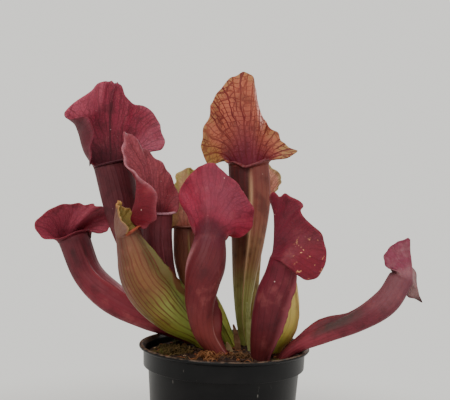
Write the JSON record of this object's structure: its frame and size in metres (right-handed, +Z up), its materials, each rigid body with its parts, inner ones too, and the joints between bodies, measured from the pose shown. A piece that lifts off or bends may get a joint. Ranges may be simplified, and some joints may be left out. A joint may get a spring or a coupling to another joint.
{
  "type": "potted pitcher plant",
  "caption": "Potted pitcher plant with hooded, tube-shaped leaves fanning out of peat in a round black plastic nursery pot with a rolled lip and drain holes",
  "frame": {"origin": "centre of the pot's flat base, on the ground", "axes": "+Z up through the pot's axis; the main side is seen looking along +Y, with +X to its right"},
  "size_m": [0.2068, 0.0946, 0.2299],
  "materials": {
    "pot": "satin black plastic, faintly dusty",
    "growing_medium": "rough dark peat with bark and moss",
    "rhizome": "rough brown rootstock",
    "pitcher_tall_left": "satin living leaf with raised veins",
    "pitcher_far_left": "satin living leaf with raised veins",
    "pitcher_olive_front": "satin living leaf with raised veins",
    "pitcher_mid_left": "satin living leaf with raised veins",
    "pitcher_olive_back": "satin living leaf with raised veins",
    "pitcher_front": "satin living leaf with raised veins",
    "pitcher_right": "satin living leaf with raised veins",
    "pitcher_short": "satin living leaf with raised veins",
    "pitcher_tall_back": "satin living leaf with raised veins",
    "pitcher_small_back": "satin living leaf with raised veins",
    "pitcher_far_right": "satin living leaf with raised veins",
    "leaf_narrow": "satin living leaf with raised veins",
    "bract_dry": "dry papery leaf remnant",
    "scale_dry": "dry papery leaf remnant"
  },
  "bodies": {
    "root": {"pot": "pot", "growing_medium": "growing_medium", "rhizome": "rhizome", "pitcher_tall_left": "pitcher_tall_left", "pitcher_far_left": "pitcher_far_left", "pitcher_olive_front": "pitcher_olive_front", "pitcher_mid_left": "pitcher_mid_left", "pitcher_olive_back": "pitcher_olive_back", "pitcher_front": "pitcher_front", "pitcher_right": "pitcher_right", "pitcher_short": "pitcher_short", "pitcher_tall_back": "pitcher_tall_back", "pitcher_small_back": "pitcher_small_back", "pitcher_far_right": "pitcher_far_right", "leaf_narrow": "leaf_narrow", "bract_dry": "bract_dry", "scale_dry": "scale_dry"}
  },
  "joints": []
}
